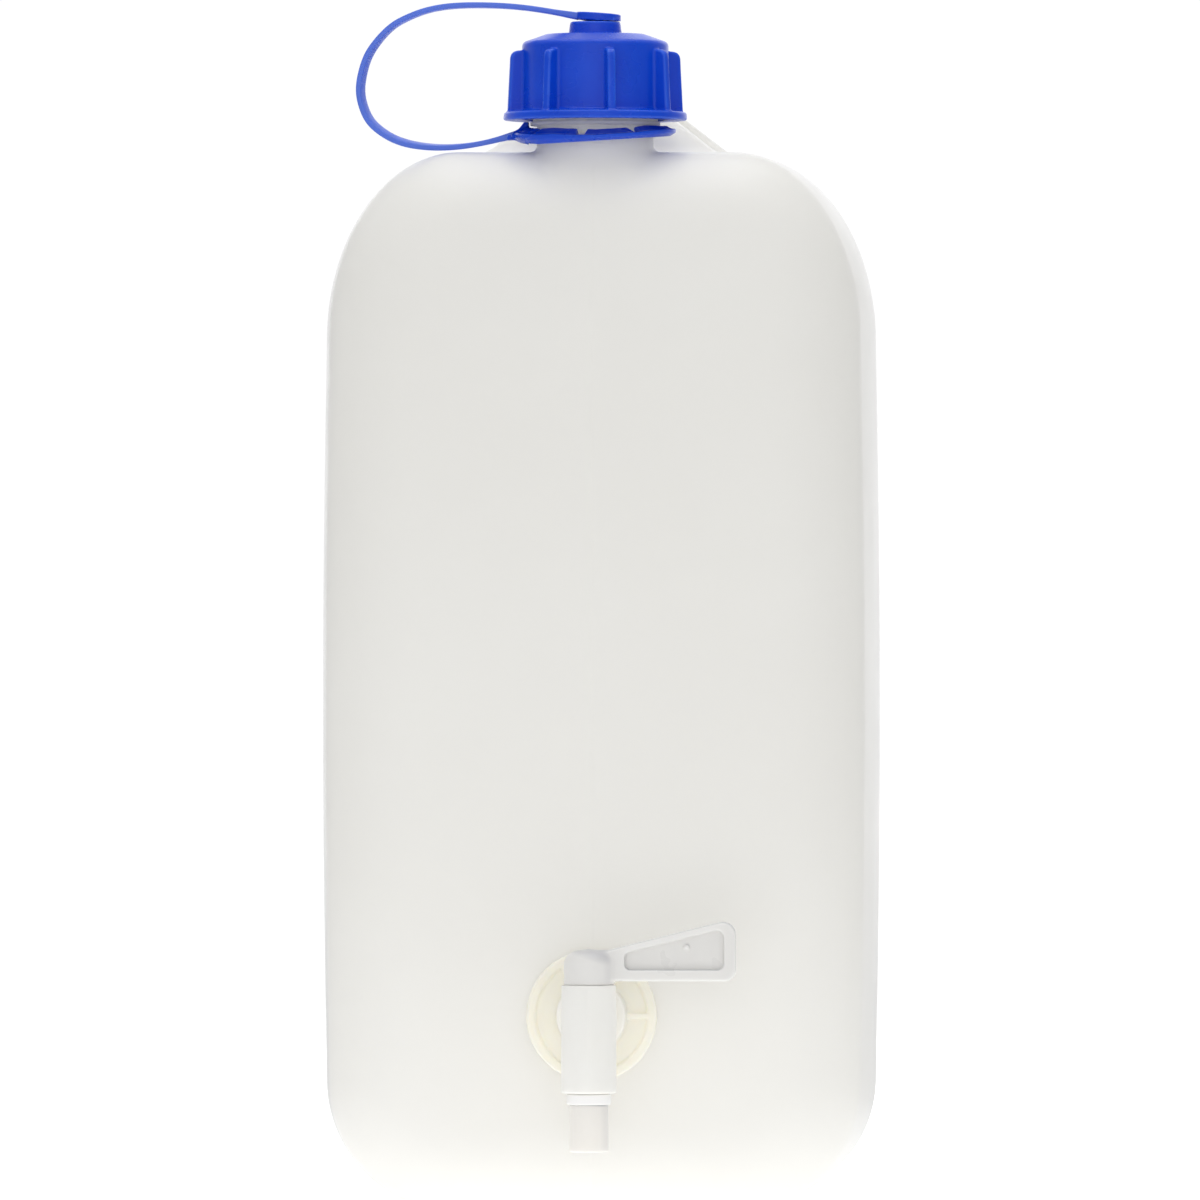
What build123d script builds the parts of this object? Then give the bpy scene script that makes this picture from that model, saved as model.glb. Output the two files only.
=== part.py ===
from build123d import *
import math
import os

# Blow moulded water canister with an integral handle, a tethered screw cap and a tap.
# Millimetres.  Origin: middle of the base, on the surface the canister stands on.
# +Z up, the tap and the filler neck are on the -Y side (the front),
# +X is to the right when the tap is faced.

os.makedirs("parts", exist_ok=True)

# ---------------------------------------------------------------- shared sizes
depth = 200.0            # front face to back face
front_y = -depth / 2

neck_y = -68.0           # filler neck axis
neck_top = 450.0

tap_z = 77.2             # outlet axis, runs along Y
tap_y = -127.0           # barrel axis, upright
outlet_hole_r = 14.0

# Sketch planes for turned profiles: local x is the radius, local y the height (Z).
# On outlet_plane local y is Y instead.
neck_plane = Plane(origin=(0, neck_y, 0), x_dir=(1, 0, 0), z_dir=(0, -1, 0))
neck_axis = Axis((0, neck_y, 0), (0, 0, 1))
tap_plane = Plane(origin=(0, tap_y, 0), x_dir=(1, 0, 0), z_dir=(0, -1, 0))
tap_axis = Axis((0, tap_y, 0), (0, 0, 1))
outlet_plane = Plane(origin=(0, 0, tap_z), x_dir=(1, 0, 0), z_dir=(0, 0, 1))
outlet_axis = Axis((0, 0, tap_z), (0, 1, 0))


# ---------------------------------------------------------------- helpers
def save(part, name):
    """Label a finished piece and write its STEP file."""
    part.label = name
    export_step(part, f"parts/{name}.step")


def profile(plane, points):
    """Face on the plane, bounded by straight lines through the points."""
    with BuildSketch(plane) as sketch:
        with BuildLine():
            Polyline(*points, close=True)
        make_face()
    return sketch.sketch


def thread(start, direction, pitch, turns, root_r, crest_r, root_w, crest_w):
    """Trapezoid thread ridge; crest_r below root_r gives an internal thread."""
    with BuildPart() as ridge:
        with BuildLine() as path:
            Helix(pitch=pitch, height=pitch * turns, radius=root_r,
                  center=start, direction=direction)
        radial = ((path.line @ 0) - start).normalized()
        with BuildSketch(Plane(origin=start, x_dir=radial, z_dir=radial.cross(direction))):
            with BuildLine():
                Polyline((root_r, -root_w / 2), (crest_r, -crest_w / 2),
                         (crest_r, crest_w / 2), (root_r, root_w / 2), close=True)
            make_face()
        sweep(is_frenet=True)
    return ridge.part


def neck_thread(start_z, turns, root_r, crest_r):
    """Thread ridge round the neck axis, climbing in +Z."""
    return thread(Vector(0, neck_y, start_z), Vector(0, 0, 1), 6.0, turns,
                  root_r, crest_r, root_w=3.2, crest_w=1.4)


def outlet_thread(start_y, turns, root_r, crest_r):
    """Thread ridge round the outlet axis, running towards +Y."""
    return thread(Vector(0, start_y, tap_z), Vector(0, 1, 0), 2.4, turns,
                  root_r, crest_r, root_w=1.3, crest_w=0.5)


# ================================================================ canister body
half_width = 107.1       # at mid depth, at the ends of the straight sides
side_bow = 0.9           # the side walls bow out by this much at half height
plan_bow = 8.4           # from above, the front and the back are narrower by this a side
height = 410.5           # base to flat shoulder
base_r = 50.0            # lower corners, seen from the front
shoulder_across, shoulder_up = 50.0, 72.0   # upper corners: quarter ellipses
edge_r = 31.0            # rounding all round the front and the back face
wall = 1.8

neck_r = 22.6            # plain tube under the bead
neck_bore = 20.0
bead_r, bead_z0, bead_z1 = 25.2, 420.6, 422.3
thread_root_r, thread_crest_r = 24.2, 26.0

# integral handle, running front to back behind the neck
grip_y0, grip_y1 = -26.0, 97.5
grip_top = 448.0
grip_foot, grip_flank, grip_crown = 65.5, 26.7, 15.5   # half widths at grip_y1
grip_flank_z = 431.5
grip_root_z = 380.0      # the hump starts this low, inside the container
grip_taper = 0.061       # the hump widens by this much a side per mm towards the back
grip_edge_r = 8.0
slot_y0, slot_y1 = 4.0, 72.0
slot_z0, slot_z1 = 399.0, 430.5
slot_r = 13.0


def block_section(y, inset):
    """Front view of the container at depth y, every wall moved in by inset."""
    side_x = half_width - plan_bow * (y / 100) ** 2 - inset
    bottom = inset - 0.05            # a hair below the flat base, which is cut later
    top = height - inset
    corner_r = base_r - inset
    across, up = shoulder_across - inset, shoulder_up - inset
    side_z0, side_z1 = bottom + corner_r, top - up
    with BuildSketch(Plane.XZ.offset(-y)) as section:
        with BuildLine():
            Line((0, bottom), (side_x - corner_r, bottom))
            CenterArc((side_x - corner_r, side_z0), corner_r, -90, 90)
            Spline((side_x, side_z0), (side_x + side_bow, (side_z0 + side_z1) / 2),
                   (side_x, side_z1), tangents=[(0, 1), (0, 1)])
            EllipticalCenterArc((side_x - across, side_z1), across, up,
                                start_angle=0, arc_size=90)
            Line((side_x - across, top), (0, top))
            mirror(about=Plane.YZ)
        make_face()
    return section.sketch


def container_block(inset):
    """The plain container, lofted front to back and rounded at both ends."""
    half_depth = depth / 2 - inset
    with BuildPart() as block:
        loft([block_section(k * half_depth, inset) for k in (-1, -0.5, 0, 0.5, 1)])
        ends = block.edges().group_by(Axis.Y)
        fillet(ends[0] + ends[-1], radius=edge_r - inset)
        with Locations((0, 0, inset - 5)):
            Box(400, 400, 10, mode=Mode.SUBTRACT)
    return block.part


def grip_section(y, inset):
    """Front view of the handle hump at depth y; the sloping walls move in further."""
    widening = grip_taper * (y - grip_y1)
    foot = grip_foot + widening - 1.35 * inset
    flank = grip_flank + widening - 1.28 * inset
    crown = grip_crown - inset
    top = grip_top - inset
    with BuildSketch(Plane.XZ.offset(-y)) as section:
        with BuildLine():
            Polyline((-foot, grip_root_z), (-foot, 401), (-flank, grip_flank_z), (-crown, top),
                     (crown, top), (flank, grip_flank_z), (foot, 401), (foot, grip_root_z),
                     close=True)
        outline = make_face()
        # the two flank corners
        fillet(outline.vertices().sort_by(Axis.Y)[4:6], radius=12 + inset)
    return section.sketch


def grip_hump(inset):
    """The hump the handle is cut from: front view crossed with side view."""
    top = grip_top - inset
    with BuildPart() as hump:
        loft([grip_section(-40, inset), grip_section(110, inset)], ruled=True)
        with BuildSketch(Plane.YZ.offset(-80)):
            with BuildLine():
                Polyline((grip_y0 + inset, grip_root_z), (grip_y0 + 5 + inset, top),
                         (70 - 0.7 * inset, top), (89 - 1.05 * inset, 424),
                         (grip_y1 - inset, grip_root_z), close=True)
            side_view = make_face()
            # the bend in the back slope
            fillet(side_view.vertices().sort_by(Axis.Y)[-3], radius=20)
        extrude(amount=160, mode=Mode.INTERSECT)
        fillet([edge for edge in hump.edges() if edge.center().Z > top - 0.2],
               radius=grip_edge_r - inset)
    return hump.part


def finger_slot(grow):
    """Side to side opening under the grip, every wall moved out by grow."""
    with BuildPart() as slot:
        with BuildSketch(Plane.YZ.offset(-130)):
            with Locations(((slot_y0 + slot_y1) / 2, (slot_z0 + slot_z1) / 2)):
                RectangleRounded(slot_y1 - slot_y0 + 2 * grow, slot_z1 - slot_z0 + 2 * grow,
                                 slot_r + grow)
        extrude(amount=260)
    return slot.part


with BuildPart() as cavity:
    add(container_block(wall))
    add(grip_hump(wall))
    add(finger_slot(wall), mode=Mode.SUBTRACT)

# (radius, z): tube with a bead and a threaded mouth
neck_outside = [
    (0, 395), (neck_r, 395), (neck_r, bead_z0), (bead_r, bead_z0 + 0.5),
    (bead_r, bead_z1 - 0.3), (thread_root_r, bead_z1), (thread_root_r, neck_top - 0.8),
    (thread_root_r - 0.8, neck_top), (0, neck_top)]
# (radius, z): bore of the neck, wider where it opens into the container
neck_inside = [
    (0, 393), (neck_bore + 1.5, 393), (neck_bore + 1.5, 404), (neck_bore, 410),
    (neck_bore, neck_top - 0.6), (neck_bore + 0.6, neck_top), (0, neck_top)]

with BuildPart() as canister_body:
    add(container_block(0))
    add(grip_hump(0))
    add(finger_slot(0), mode=Mode.SUBTRACT)
    revolve(profile(neck_plane, neck_outside), axis=neck_axis)
    add(neck_thread(430.0, 2.0, thread_root_r - 0.3, thread_crest_r))
    add(cavity.part, mode=Mode.SUBTRACT)
    revolve(profile(neck_plane, neck_inside), axis=neck_axis, mode=Mode.SUBTRACT)
    # outlet opening low in the front wall
    with BuildSketch(Plane.XZ.offset(depth / 2 + 5)):
        with Locations((0, tap_z)):
            Circle(outlet_hole_r)
    extrude(amount=-12, mode=Mode.SUBTRACT)
save(canister_body.part, "canister_body")

# ================================================================ outlet boss
# Insert in the front wall: a flanged disc with a raised rim and three radial
# ribs, a socket collar and a threaded bore.
disc_r = 25.2
boss_bore_r, boss_crest_r = 10.7, 9.5
boss_rib_mid_r, boss_rib_length, boss_rib_w = 17.6, 8.6, 1.9

# (radius, y)
boss_outline = [
    (boss_bore_r, -104.0), (13.2, -104.0), (13.6, -103.6), (13.6, -102.2),
    (21.2, -102.0), (21.6, -103.3), (22.4, -103.6), (24.0, -103.6),
    (disc_r, -102.6), (disc_r, front_y), (outlet_hole_r - 0.1, front_y),
    (outlet_hole_r - 0.1, -94.2), (outlet_hole_r - 0.9, -93.4), (boss_bore_r, -93.4)]

with BuildPart() as outlet_boss:
    revolve(profile(outlet_plane, boss_outline), axis=outlet_axis)
    with BuildSketch(Plane.XZ.offset(101.4)):
        for degrees in (0, 120, 240):
            rib_x = boss_rib_mid_r * math.cos(math.radians(degrees))
            rib_z = tap_z + boss_rib_mid_r * math.sin(math.radians(degrees))
            with Locations(Location((rib_x, rib_z, 0), (0, 0, degrees))):
                Rectangle(boss_rib_length, boss_rib_w)
    extrude(amount=1.9)
    add(outlet_thread(-101.8, 3.0, boss_bore_r + 0.2, boss_crest_r))
save(outlet_boss.part, "outlet_boss")

# ================================================================ screw cap
flange_r, flange_z0, flange_z1 = 35.6, 422.8, 426.0
skirt_r, skirt_z1 = 28.5, 452.4
cap_bore_r, cap_crest_r = 26.6, 24.8
ceiling_z = 452.05
cap_top_z, cap_top_r = 456.0, 18.5
knob_r0, knob_r1, knob_z1 = 10.35, 9.7, 461.0      # radius at foot, at top, top height
stud_r, stud_head_r = 3.0, 5.2
stud_head_z0, stud_head_z1 = 462.85, 463.9
rib_count, rib_w = 8, 3.5
rib_phase = 13.3                                   # degrees from -Y towards +X
rib_r_low, rib_r_high = 34.9, 33.4
rib_z0, rib_z1 = flange_z0 + 1.2, 449.6

# (radius, z): flange, skirt, top, knob and headed stud, then the inside
cap_outline = [
    (cap_bore_r, flange_z0), (flange_r - 0.5, flange_z0), (flange_r, flange_z0 + 0.6),
    (flange_r - 0.3, flange_z1 - 0.7), (flange_r - 1.2, flange_z1),
    (skirt_r + 0.5, flange_z1 + 0.3), (skirt_r, flange_z1 + 1.2),
    (skirt_r - 0.1, skirt_z1 - 1.4), (skirt_r - 1.1, skirt_z1),
    (cap_top_r + 1.2, cap_top_z - 0.3), (cap_top_r, cap_top_z), (knob_r0, cap_top_z),
    (knob_r1, knob_z1 - 0.5), (knob_r1 - 0.5, knob_z1), (stud_r, knob_z1),
    (stud_r, stud_head_z0), (stud_head_r, stud_head_z0), (stud_head_r - 0.2, 463.6),
    (stud_head_r - 1.2, stud_head_z1), (0, stud_head_z1),
    (0, ceiling_z), (cap_bore_r, ceiling_z)]
# (radius, z)
cap_rib_outline = [
    (skirt_r - 1, rib_z0), (rib_r_low, rib_z0), (rib_r_high, rib_z1 - 2.6),
    (rib_r_high - 1.3, rib_z1 - 0.7), (rib_r_high - 3.2, rib_z1), (skirt_r - 1, rib_z1 + 0.3)]

with BuildPart() as screw_cap:
    revolve(profile(neck_plane, cap_outline), axis=neck_axis)
    for k in range(rib_count):
        angle = math.radians(-90 + rib_phase + k * 360 / rib_count)
        rib_plane = Plane(origin=(0, neck_y, 0), x_dir=(math.cos(angle), math.sin(angle), 0),
                          z_dir=(math.sin(angle), -math.cos(angle), 0))
        extrude(profile(rib_plane, cap_rib_outline), amount=rib_w / 2, both=True)
    add(neck_thread(427.0, 2.5, cap_bore_r + 0.3, cap_crest_r))
save(screw_cap.part, "screw_cap")

# ================================================================ cap gasket
# Flat sealing ring between the neck rim and the roof of the cap.
gasket_r, gasket_bore_r = 26.2, 19.6
gasket_gap = 0.04        # clearance above and below

with BuildPart() as cap_gasket:
    with BuildSketch(Plane(origin=(0, neck_y, neck_top + gasket_gap))):
        Circle(gasket_r)
        Circle(gasket_bore_r, mode=Mode.SUBTRACT)
    extrude(amount=ceiling_z - neck_top - 2 * gasket_gap)
save(cap_gasket.part, "cap_gasket")

# ================================================================ tether ring
# Loose ring round the neck under the cap, tilted up towards +X.
ring_z, ring_h = 413.8, 4.6
ring_tilt = math.radians(3.2)
ring_r, ring_top_r, ring_bore_r = 31.5, 25.7, 23.9
notch_count, notch_phase = 8, -142     # phase in degrees from +X towards +Y
lug_x, lug_w = -32.6, 7.2              # outer end of the lug, width along Y

ring_up = Vector(-math.sin(ring_tilt), 0, math.cos(ring_tilt))
ring_right = Vector(math.cos(ring_tilt), 0, math.sin(ring_tilt))
ring_centre = (0, neck_y, ring_z)
ring_plane = Plane(origin=ring_centre, x_dir=ring_right, z_dir=(0, -1, 0))

# (radius, height over ring_centre)
ring_outline = [
    (27.6, 0), (28.8, 0), (ring_r - 0.2, 1.0), (ring_r, 1.4), (ring_r, 2.1),
    (ring_r - 0.6, 2.5), (29.4, 2.4), (ring_top_r + 0.3, ring_h),
    (ring_bore_r, ring_h), (ring_bore_r, ring_h - 1.2)]
# (x, z)
lug_outline = [
    (lug_x, 415.1), (lug_x, 417.7), (-29.5, 419.5), (-27.5, 421.8), (-26.0, 421.8),
    (-26.0, 413.5), (-27.4, 413.9), (-30.4, 415.2)]

with BuildPart() as tether_ring:
    revolve(profile(ring_plane, ring_outline), axis=Axis(ring_centre, ring_up))
    # notches in the upper edge
    for k in range(notch_count):
        angle = math.radians(notch_phase + k * 360 / notch_count)
        outward = ring_right * math.cos(angle) + Vector(0, 1, 0) * math.sin(angle)
        notch_plane = Plane(origin=ring_centre, x_dir=outward.cross(ring_up), z_dir=outward)
        with BuildSketch(notch_plane.offset(22)):
            with BuildLine():
                Polyline((-2.9, ring_h + 1), (2.9, ring_h + 1), (1.1, ring_h - 2.2),
                         (-1.1, ring_h - 2.2), close=True)
            make_face()
        extrude(amount=12, mode=Mode.SUBTRACT)
    # lug where the strap starts
    extrude(profile(neck_plane, lug_outline), amount=lug_w / 2, both=True)
save(tether_ring.part, "tether_ring")

# ================================================================ tether strap
# Flat band bent in the XZ plane through the neck axis, from eyelet to ring lug.
strap_t, strap_w = 2.2, 6.0
eyelet_r, eyelet_z0, eyelet_z1 = 8.7, 461.3, 463.9

# (x, z) along the middle of the band
strap_points = [
    (-5.0, 463.3), (-13.9, 464.4), (-37.2, 467.3), (-52.7, 467.5), (-64.3, 465.9),
    (-73.6, 462.3), (-79.8, 458.4), (-86.0, 451.3), (-89.1, 444.5), (-91.1, 434.8),
    (-89.1, 426.7), (-86.0, 421.5), (-79.8, 416.7), (-73.6, 414.0), (-67.4, 412.7),
    (-61.2, 412.3), (-55.0, 412.5), (-48.8, 413.2), (-42.6, 414.3), (-37.2, 415.4),
    (-28.6, 417.0)]

with BuildPart() as tether_strap:
    with BuildLine(neck_plane) as strap_path:
        Spline(*strap_points)
    with BuildSketch(Plane(origin=strap_path.line @ 0, x_dir=(0, 1, 0),
                           z_dir=strap_path.line % 0)):
        Rectangle(strap_w, strap_t)
    sweep()
    # square off against the ring's lug
    with BuildSketch(Plane(origin=(0, neck_y, 400))):
        with Locations((lug_x + 20, 0)):
            Rectangle(40, 20)
    extrude(amount=25, mode=Mode.SUBTRACT)
    # cut back to the rim of the eyelet
    with BuildSketch(Plane(origin=(0, neck_y, 440))):
        Circle(eyelet_r)
    extrude(amount=40, mode=Mode.SUBTRACT)
save(tether_strap.part, "tether_strap")

# ================================================================ tether eyelet
# Snapped over the stud on top of the cap, with the stud head sunk into it.
eyelet_bore_r = stud_r + 0.3
eyelet_step_z = 462.6

# (radius, z)
eyelet_outline = [
    (eyelet_bore_r, eyelet_z0), (eyelet_r - 0.4, eyelet_z0), (eyelet_r, eyelet_z0 + 0.4),
    (eyelet_r, eyelet_z1 + 0.1), (eyelet_r - 0.5, eyelet_z1 + 0.4),
    (stud_head_r + 0.9, eyelet_z1 + 0.4), (stud_head_r + 0.6, eyelet_step_z),
    (eyelet_bore_r, eyelet_step_z)]

with BuildPart() as tether_eyelet:
    revolve(profile(neck_plane, eyelet_outline), axis=neck_axis)
save(tether_eyelet.part, "tether_eyelet")

# ================================================================ tap body
# Threaded shank, sealing collar and upright barrel in one moulding.
barrel_r, barrel_z0, barrel_z1 = 10.6, 48.4, 89.8
barrel_bore = 8.5
shank_root_r, shank_crest_r = 9.2, 10.4
collar_r = 12.4
shank_waterway_r = 6.0

# The stop on the barrel runs in a pocket under the hub of the key.
# Angles in degrees from +X towards +Y.
stop_start, stop_arc, stop_h = 81, 18, 3.0
stop_play = 0.8
key_turn = 90


def arc_block(base_z, outer_r, inner_r, start, arc):
    """Piece of a flat ring round the tap axis, as high as the stop."""
    with BuildPart() as block:
        with BuildSketch(Plane(origin=(0, tap_y, base_z))):
            with BuildLine():
                outer = CenterArc((0, 0), outer_r, start, arc)
                inner = CenterArc((0, 0), inner_r, start, arc)
                Line(outer @ 0, inner @ 0)
                Line(outer @ 1, inner @ 1)
            make_face()
        extrude(amount=stop_h)
    return block.part


# (radius, z)
barrel_outline = [
    (0, barrel_z0), (barrel_r - 0.9, barrel_z0), (barrel_r - 0.1, barrel_z0 + 0.8),
    (barrel_r, barrel_z1 - 0.5), (barrel_r - 0.5, barrel_z1), (0, barrel_z1)]
# (radius, y)
shank_outline = [
    (0, tap_y), (9.3, tap_y), (9.3, -110.4), (10.2, -108.8), (12.0, -108.6),
    (collar_r, -108.2), (collar_r, -105.6), (shank_root_r, -105.6), (shank_root_r, -94.4),
    (shank_root_r - 0.8, -93.6), (0, -93.6)]
# (radius, z), with a lead-in at the top
key_bore_outline = [
    (0, barrel_z0 - 1), (barrel_bore, barrel_z0 - 1), (barrel_bore, barrel_z1 - 0.5),
    (barrel_bore + 0.5, barrel_z1 + 0.01), (0, barrel_z1 + 0.01)]

with BuildPart() as tap_body:
    revolve(profile(tap_plane, barrel_outline), axis=tap_axis)
    revolve(profile(outlet_plane, shank_outline), axis=outlet_axis)
    add(outlet_thread(-103.0, 3.4, shank_root_r - 0.2, shank_crest_r))
    revolve(profile(tap_plane, key_bore_outline), axis=tap_axis, mode=Mode.SUBTRACT)
    # waterway from the shank into the barrel
    with BuildSketch(Plane.XZ.offset(90)):
        with Locations((0, tap_z)):
            Circle(shank_waterway_r)
    extrude(amount=36, mode=Mode.SUBTRACT)
    add(arc_block(barrel_z1 - 0.2, barrel_r - 0.5, barrel_bore + 0.55, stop_start, stop_arc))
save(tap_body.part, "tap_body")

# ================================================================ tap key
# Lever, hub, hollow plug and spout in one moulding, in the shut position.
plug_r = 8.44
spout_r, spout_bore, spout_z0 = 7.6, 5.0, 25.8
snap_groove_r, snap_groove_z0, snap_groove_z1 = 6.6, 43.9, 47.8
hub_r, hub_z0, hub_z1 = 9.6, 90.3, 102.6
bore_top_z = 82.5
port_r = 5.0
lever_t, web_t = 7.6, 3.6
lever_x, lever_z0, lever_z1 = 56.3, 91.3, 115.4    # tip, underside, highest point
oring_heights = {"lower": 66.0, "upper": 85.6}
oring_section_r, oring_mid_r, oring_groove_w = 0.92, 7.50, 2.2

# (radius, z)
key_outline = [
    (0, spout_z0), (spout_r - 0.5, spout_z0), (spout_r, spout_z0 + 0.5),
    (spout_r, snap_groove_z0), (snap_groove_r, snap_groove_z0),
    (snap_groove_r, snap_groove_z1), (spout_r + 0.3, snap_groove_z1), (plug_r, 49.2),
    (plug_r, hub_z0), (hub_r - 0.4, hub_z0), (hub_r, hub_z0 + 0.5), (hub_r, 98.0),
    (hub_r - 1.0, 100.3), (hub_r - 3.6, 102.0), (0, hub_z1)]

with BuildPart() as tap_key:
    revolve(profile(tap_plane, key_outline), axis=tap_axis)
    # lever blade with a rounded tip
    with BuildSketch(tap_plane):
        with BuildLine():
            Polyline((0, lever_z0), (lever_x, lever_z0), (lever_x, lever_z1),
                     (3.6, 102.4), (0, 101.6), close=True)
        blade = make_face()
        tip_corners = blade.vertices().sort_by(Axis.X)[-2:]
        fillet(tip_corners.sort_by(Axis.Y)[0], radius=4.0)
        fillet(tip_corners.sort_by(Axis.Y)[1], radius=5.0)
    extrude(amount=lever_t / 2, both=True)
    # recessed panels on both faces
    for side in (1, -1):
        with BuildSketch(tap_plane.offset(side * web_t / 2)):
            with BuildLine():
                Polyline((13.7, 95.6), (51.9, 95.6), (51.9, 111.5), (13.7, 102.0), close=True)
            panel = make_face()
            fillet(panel.vertices(), radius=2.4)
        extrude(amount=side * 6, mode=Mode.SUBTRACT)
    # small gate mark on the front panel
    with BuildSketch(tap_plane.offset(web_t / 2 - 0.1)):
        with Locations((37.6, 104.3)):
            Circle(1.1)
    extrude(amount=0.7)
    # waterway: blind bore up from the spout and a port towards -X
    with BuildSketch(Plane(origin=(0, tap_y, spout_z0 - 1))):
        Circle(spout_bore)
    extrude(amount=bore_top_z - spout_z0 + 1, mode=Mode.SUBTRACT)
    with BuildSketch(Plane(origin=(0, tap_y, tap_z), x_dir=(0, 1, 0), z_dir=(-1, 0, 0))):
        Circle(port_r)
    extrude(amount=12, mode=Mode.SUBTRACT)
    # pocket for the stop: a quarter turn and a little
    add(arc_block(hub_z0 - 0.2, hub_r + 1.0, plug_r, stop_start - stop_play,
                  key_turn + stop_arc + 2 * stop_play), mode=Mode.SUBTRACT)
    # grooves for the two sealing rings
    for z in oring_heights.values():
        with BuildSketch(Plane(origin=(0, tap_y, z - oring_groove_w / 2))):
            Circle(plug_r + 1)
            Circle(oring_mid_r - oring_section_r, mode=Mode.SUBTRACT)
        extrude(amount=oring_groove_w, mode=Mode.SUBTRACT)
save(tap_key.part, "tap_key")

# ================================================================ tap key O-rings
for place, z in oring_heights.items():
    with BuildPart() as oring:
        with BuildSketch(tap_plane):
            with Locations((oring_mid_r, z)):
                Circle(oring_section_r)
        revolve(axis=tap_axis)
    save(oring.part, f"tap_key_oring_{place}")

# ================================================================ tap retaining ring
# Snap ring that keeps the key in the barrel; (radius, z).
snap_ring_outline = [
    (6.62, 44.0), (8.2, 44.0), (8.5, 44.5), (8.5, 47.3), (8.2, 47.7), (6.62, 47.7)]

with BuildPart() as tap_retaining_ring:
    revolve(profile(tap_plane, snap_ring_outline), axis=tap_axis)
save(tap_retaining_ring.part, "tap_retaining_ring")

# ================================================================ tap shank washer
# Between the tap's collar and the outlet boss.
washer_r, washer_bore_r, washer_t = 12.9, 10.6, 1.6

with BuildPart() as tap_shank_washer:
    with BuildSketch(Plane.XZ.offset(104.0)):
        with Locations((0, tap_z)):
            Circle(washer_r)
            Circle(washer_bore_r, mode=Mode.SUBTRACT)
    extrude(amount=washer_t)
save(tap_shank_washer.part, "tap_shank_washer")
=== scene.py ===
"""Canister of natural polyethylene with a blue tethered screw cap and a tap low on its front.

It stands upright on z = 0: width along X, front towards -Y, neck in the front half of the top.
Shapes are worked out in millimetres and turned into metres as the meshes are made.
Most pieces are the zero level of a distance field, negative inside the plastic.
"""
import bpy
import bmesh
import math
from itertools import product

import numpy as np
from mathutils import Matrix, Vector


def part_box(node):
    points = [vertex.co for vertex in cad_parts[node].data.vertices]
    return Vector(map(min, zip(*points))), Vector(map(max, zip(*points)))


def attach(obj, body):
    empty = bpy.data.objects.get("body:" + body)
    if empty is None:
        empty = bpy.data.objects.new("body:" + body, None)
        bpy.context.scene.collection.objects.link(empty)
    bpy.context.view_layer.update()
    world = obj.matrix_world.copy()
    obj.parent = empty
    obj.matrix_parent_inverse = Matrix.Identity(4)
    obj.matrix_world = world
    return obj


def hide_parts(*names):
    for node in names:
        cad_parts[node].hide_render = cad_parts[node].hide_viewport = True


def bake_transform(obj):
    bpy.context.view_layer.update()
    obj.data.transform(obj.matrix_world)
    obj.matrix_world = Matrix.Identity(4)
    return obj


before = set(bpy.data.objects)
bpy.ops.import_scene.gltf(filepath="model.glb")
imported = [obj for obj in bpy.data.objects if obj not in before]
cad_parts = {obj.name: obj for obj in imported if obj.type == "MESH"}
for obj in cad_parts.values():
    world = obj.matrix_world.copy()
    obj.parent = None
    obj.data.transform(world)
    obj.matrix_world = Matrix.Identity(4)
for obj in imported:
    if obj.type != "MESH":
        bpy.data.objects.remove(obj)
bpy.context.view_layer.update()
MM = 0.001
TURN = 2 * math.pi


# ------------------------------------------------------------------ places from the CAD boxes
def box_mm(node):
    """Low and high corners of a CAD piece, in millimetres."""
    low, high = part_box(node)
    return np.array(low) * 1000.0, np.array(high) * 1000.0


CAN_LOW, CAN_HIGH = box_mm("canister_body")
CAP_LOW, CAP_HIGH = box_mm("screw_cap")
EYELET_LOW, EYELET_HIGH = box_mm("tether_eyelet")
TAP_LOW, TAP_HIGH = box_mm("tap_body")
BOSS_LOW, BOSS_HIGH = box_mm("outlet_boss")
GASKET_LOW, GASKET_HIGH = box_mm("cap_gasket")
SNAP_LOW, SNAP_HIGH = box_mm("tap_retaining_ring")
WASHER_LOW, WASHER_HIGH = box_mm("tap_shank_washer")

NECK_Y = (CAP_LOW[1] + CAP_HIGH[1]) / 2       # upright axis of neck and cap
TAP_Y = (SNAP_LOW[1] + SNAP_HIGH[1]) / 2      # upright axis of the tap barrel
OUTLET_Z = (BOSS_LOW[2] + BOSS_HIGH[2]) / 2   # height of the outlet axis, which runs along Y
CAN_DEPTH = CAN_HIGH[1] - CAN_LOW[1]


# ------------------------------------------------------------------ distance fields
def unite(first, second, radius):
    """Union with a fillet of the given radius."""
    fillet_part = np.hypot(np.maximum(radius - first, 0), np.maximum(radius - second, 0))
    return np.maximum(radius, np.minimum(first, second)) - fillet_part


def intersect(first, second, radius):
    """Intersection with edges rounded by the given radius."""
    round_part = np.hypot(np.maximum(radius + first, 0), np.maximum(radius + second, 0))
    return np.minimum(-radius, np.maximum(first, second)) + round_part


def cut(dist, tool, radius):
    """Takes the tool away, with edges rounded by the given radius."""
    return intersect(dist, -tool, radius)


def between(value, low, high):
    """Distance to the slab low <= value <= high."""
    return np.maximum(low - value, value - high)


def corner(first, second):
    """True distance to the quarter space where both values are negative."""
    outside = np.hypot(np.maximum(first, 0), np.maximum(second, 0))
    return np.minimum(np.maximum(first, second), 0) + outside


def rounded_rectangle(x, y, half_x, half_y, radius):
    return corner(np.abs(x) - (half_x - radius), np.abs(y) - (half_y - radius)) - radius


def extrude(outline, height, half, radius):
    """Outline distance carried over |height| <= half, outer edges rounded."""
    return corner(outline + radius, np.abs(height) - (half - radius)) - radius


def fold(angle, start, count):
    """Angle from the nearest of `count` even spokes, the first of them at `start`."""
    half = math.pi / count
    return (angle - start + half) % (2 * half) - half


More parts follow.
